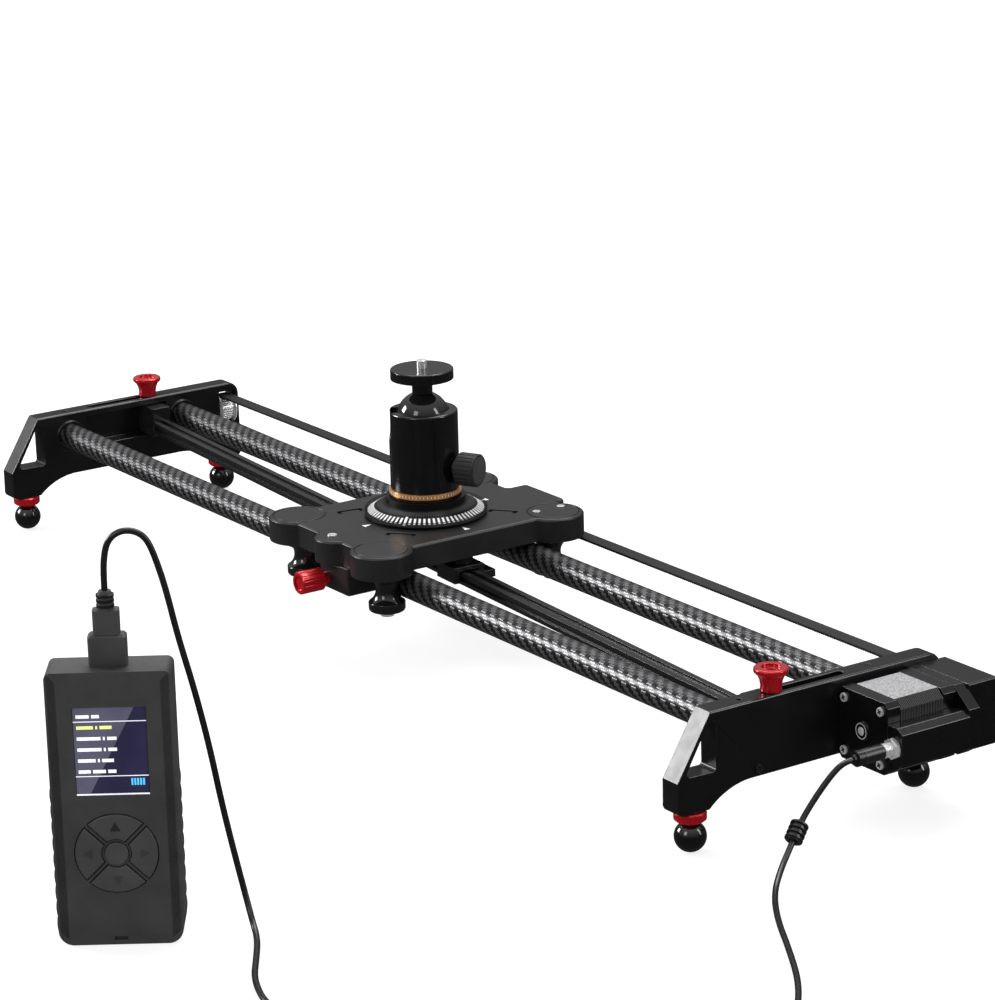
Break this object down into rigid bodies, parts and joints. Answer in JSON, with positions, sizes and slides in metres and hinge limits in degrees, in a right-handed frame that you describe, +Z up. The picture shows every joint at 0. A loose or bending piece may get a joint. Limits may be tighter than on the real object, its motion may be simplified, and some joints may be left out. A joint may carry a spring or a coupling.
{
  "type": "motorised camera slider",
  "caption": "Twin-tube motorised camera slider with belt-driven roller carriage, panning turntable, ball head, levelling feet and a wired handset.",
  "frame": {"origin": "centre of the four feet, on the surface they stand on", "axes": "+X along the rails towards the motor, +Y towards the belt, +Z up"},
  "size_m": [1.0038, 0.5161, 0.2231],
  "materials": {
    "black_anodised": "satin black anodised",
    "carriage_black": "satin black anodised",
    "carbon": "clear-coated carbon fibre twill",
    "red_anodised": "red anodised",
    "bright_steel": "bright steel",
    "dark_steel": "blackened steel",
    "bar_black": "satin dark anodised",
    "belt_rubber": "matt black rubber",
    "cord_rubber": "satin black",
    "motor_steel": "speckled laminated steel",
    "housing_black": "semi-gloss black",
    "foot_black": "polished black rubber",
    "head_black": "gloss black anodised",
    "head_ring": "bright and gold anodised",
    "ball_metal": "polished black",
    "knob_rubber": "textured black rubber",
    "brass_seat": "plain",
    "handset_rubber": "soft-touch dark grey",
    "key_plastic": "satin dark grey",
    "screen_glass": "glossy dark display",
    "board_green": "circuit board",
    "dial_black": "satin black with white marks"
  },
  "bodies": {
    "frame": {"far_end_plate": "black_anodised", "near_end_plate": "black_anodised", "front_tube": "carbon", "rear_tube": "carbon", "frame_screws": "bright_steel", "guide_bar": "bar_black", "drive_belt": "belt_rubber", "idler_axle": "bright_steel", "motor_end_caps": "housing_black", "motor_core": "motor_steel", "motor_flange": "housing_black", "pulley_housing": "housing_black", "control_box": "housing_black", "cord_socket": "bright_steel", "motor_plug": "cord_rubber", "cord_grommet": "cord_rubber", "control_cord": "cord_rubber", "handset_plug": "cord_rubber", "handset_front_shell": "handset_rubber", "handset_back_shell": "handset_rubber", "handset_screen": "screen_glass", "circuit_boards": "board_green"},
    "carriage": {"carriage_plate": "carriage_black", "turntable_bearing": "bright_steel", "carriage_bolts": "bright_steel", "belt_clamp": "carriage_black", "lock_block": "carriage_black"},
    "carriage_lock_knob": {"carriage_lock_knob": "red_anodised"},
    "turntable": {"turntable_dial": "dial_black", "follower_arm": "bar_black", "head_base_ring": "head_ring"},
    "follower_fork": {"follower_fork": "bar_black"},
    "head": {"head_housing": "head_black", "ball_seat": "brass_seat"},
    "ball": {"ball": "ball_metal"},
    "camera_platform": {"camera_platform": "head_black", "camera_screw": "bright_steel"},
    "head_lock_knob": {"head_lock_knob": "knob_rubber"},
    "motor_shaft": {"motor_rotor": "bright_steel", "drive_pulley": "bright_steel"},
    "idler_pulley": {"idler_pulley": "bright_steel"},
    "far_bar_knob": {"far_bar_knob": "red_anodised"},
    "near_bar_knob": {"near_bar_knob": "red_anodised"},
    "roller_front_far": {"roller_front_far": "dark_steel"},
    "foot_front_far": {"foot_front_far": "foot_black"},
    "lock_ring_front_far": {"lock_ring_front_far": "red_anodised"},
    "roller_front_near": {"roller_front_near": "dark_steel"},
    "foot_front_near": {"foot_front_near": "foot_black"},
    "lock_ring_front_near": {"lock_ring_front_near": "red_anodised"},
    "roller_rear_far": {"roller_rear_far": "dark_steel"},
    "foot_rear_far": {"foot_rear_far": "foot_black"},
    "lock_ring_rear_far": {"lock_ring_rear_far": "red_anodised"},
    "roller_rear_near": {"roller_rear_near": "dark_steel"},
    "foot_rear_near": {"foot_rear_near": "foot_black"},
    "lock_ring_rear_near": {"lock_ring_rear_near": "red_anodised"},
    "key_up": {"key_up": "key_plastic"},
    "key_down": {"key_down": "key_plastic"},
    "key_left": {"key_left": "key_plastic"},
    "key_right": {"key_right": "key_plastic"},
    "key_centre": {"key_centre": "key_plastic"}
  },
  "joints": [
    {"name": "carriage_slide", "type": "slide", "parent": "frame", "child": "carriage", "axis": [1, 0, 0], "range_m": [-0.32, 0.3]},
    {"name": "roller_front_far_spin", "type": "hinge", "parent": "carriage", "child": "roller_front_far", "pos_m": [-0.038, -0.062, 0.062], "axis": [0, 0, 1], "continuous": true},
    {"name": "roller_front_near_spin", "type": "hinge", "parent": "carriage", "child": "roller_front_near", "pos_m": [0.058, -0.062, 0.062], "axis": [0, 0, 1], "continuous": true},
    {"name": "roller_rear_far_spin", "type": "hinge", "parent": "carriage", "child": "roller_rear_far", "pos_m": [-0.038, 0.062, 0.062], "axis": [0, 0, 1], "continuous": true},
    {"name": "roller_rear_near_spin", "type": "hinge", "parent": "carriage", "child": "roller_rear_near", "pos_m": [0.058, 0.062, 0.062], "axis": [0, 0, 1], "continuous": true},
    {"name": "motor_spin", "type": "hinge", "parent": "frame", "child": "motor_shaft", "pos_m": [0.4183, 0.084, 0.056], "axis": [0, 1, 0], "continuous": true},
    {"name": "idler_spin", "type": "hinge", "parent": "frame", "child": "idler_pulley", "pos_m": [-0.39, 0.084, 0.061], "axis": [0, 1, 0], "continuous": true},
    {"name": "turntable_pan", "type": "hinge", "parent": "carriage", "child": "turntable", "pos_m": [0.01, 0, 0.09], "axis": [0, 0, 1], "range_deg": [-24.1, 25.7]},
    {"name": "fork_pivot", "type": "hinge", "parent": "turntable", "child": "follower_fork", "pos_m": [0.05382, -0.00398, 0.067], "axis": [0, 0, 1], "range_deg": [-25.7, 24.1]},
    {"name": "carriage_lock_turn", "type": "hinge", "parent": "carriage", "child": "carriage_lock_knob", "pos_m": [0.015, -0.078, 0.064], "axis": [0, -1, 0], "range_deg": [-180, 180]},
    {"name": "head_pan", "type": "hinge", "parent": "turntable", "child": "head", "pos_m": [0.01, 0, 0.108], "axis": [0, 0, 1], "continuous": true},
    {"name": "ball_tilt", "type": "hinge", "parent": "head", "child": "ball", "pos_m": [0.01, 0, 0.153], "axis": [0.866, -0.5, 0], "range_deg": [-45, 90]},
    {"name": "platform_turn", "type": "hinge", "parent": "ball", "child": "camera_platform", "pos_m": [0.01, 0, 0.153], "axis": [0, 0, 1], "continuous": true},
    {"name": "head_lock_turn", "type": "hinge", "parent": "head", "child": "head_lock_knob", "pos_m": [0.01, 0, 0.122], "axis": [0.8829, 0.4695, 0], "range_deg": [-180, 180]},
    {"name": "far_bar_knob_turn", "type": "hinge", "parent": "frame", "child": "far_bar_knob", "pos_m": [-0.39, 0.022, 0.088], "axis": [0, 0, 1], "range_deg": [-180, 180]},
    {"name": "near_bar_knob_turn", "type": "hinge", "parent": "frame", "child": "near_bar_knob", "pos_m": [0.39, -0.0235, 0.088], "axis": [0, 0, 1], "range_deg": [-180, 180]},
    {"name": "foot_front_far_turn", "type": "hinge", "parent": "frame", "child": "foot_front_far", "pos_m": [-0.39, -0.0804, 0.0092], "axis": [0, 0, 1], "continuous": true},
    {"name": "lock_ring_front_far_turn", "type": "hinge", "parent": "foot_front_far", "child": "lock_ring_front_far", "pos_m": [-0.39, -0.0804, 0.021], "axis": [0, 0, 1], "range_deg": [-180, 180]},
    {"name": "foot_front_near_turn", "type": "hinge", "parent": "frame", "child": "foot_front_near", "pos_m": [0.39, -0.0804, 0.0092], "axis": [0, 0, 1], "continuous": true},
    {"name": "lock_ring_front_near_turn", "type": "hinge", "parent": "foot_front_near", "child": "lock_ring_front_near", "pos_m": [0.39, -0.0804, 0.021], "axis": [0, 0, 1], "range_deg": [-180, 180]},
    {"name": "foot_rear_far_turn", "type": "hinge", "parent": "frame", "child": "foot_rear_far", "pos_m": [-0.39, 0.0804, 0.0092], "axis": [0, 0, 1], "continuous": true},
    {"name": "lock_ring_rear_far_turn", "type": "hinge", "parent": "foot_rear_far", "child": "lock_ring_rear_far", "pos_m": [-0.39, 0.0804, 0.021], "axis": [0, 0, 1], "range_deg": [-180, 180]},
    {"name": "foot_rear_near_turn", "type": "hinge", "parent": "frame", "child": "foot_rear_near", "pos_m": [0.39, 0.0804, 0.0092], "axis": [0, 0, 1], "continuous": true},
    {"name": "lock_ring_rear_near_turn", "type": "hinge", "parent": "foot_rear_near", "child": "lock_ring_rear_near", "pos_m": [0.39, 0.0804, 0.021], "axis": [0, 0, 1], "range_deg": [-180, 180]},
    {"name": "key_up_press", "type": "slide", "parent": "frame", "child": "key_up", "axis": [-0.8277, 0.5612, 0], "range_m": [0, 0.0012], "stiffness_N_per_m": 400},
    {"name": "key_down_press", "type": "slide", "parent": "frame", "child": "key_down", "axis": [-0.8277, 0.5612, 0], "range_m": [0, 0.0012], "stiffness_N_per_m": 400},
    {"name": "key_left_press", "type": "slide", "parent": "frame", "child": "key_left", "axis": [-0.8277, 0.5612, 0], "range_m": [0, 0.0012], "stiffness_N_per_m": 400},
    {"name": "key_right_press", "type": "slide", "parent": "frame", "child": "key_right", "axis": [-0.8277, 0.5612, 0], "range_m": [0, 0.0012], "stiffness_N_per_m": 400},
    {"name": "key_centre_press", "type": "slide", "parent": "frame", "child": "key_centre", "axis": [-0.8277, 0.5612, 0], "range_m": [0, 0.0012], "stiffness_N_per_m": 400}
  ],
  "couplings": [
    {"joint": "roller_front_far_spin", "follows": "carriage_slide", "rad_per_m": 145},
    {"joint": "roller_front_near_spin", "follows": "carriage_slide", "rad_per_m": 145},
    {"joint": "roller_rear_far_spin", "follows": "carriage_slide", "rad_per_m": -145},
    {"joint": "roller_rear_near_spin", "follows": "carriage_slide", "rad_per_m": -145},
    {"joint": "motor_spin", "follows": "carriage_slide", "rad_per_m": 66.7},
    {"joint": "idler_spin", "follows": "carriage_slide", "rad_per_m": 100},
    {"joint": "turntable_pan", "follows": "carriage_slide", "rad_per_m": -1.393},
    {"joint": "fork_pivot", "follows": "carriage_slide", "rad_per_m": 1.393}
  ]
}
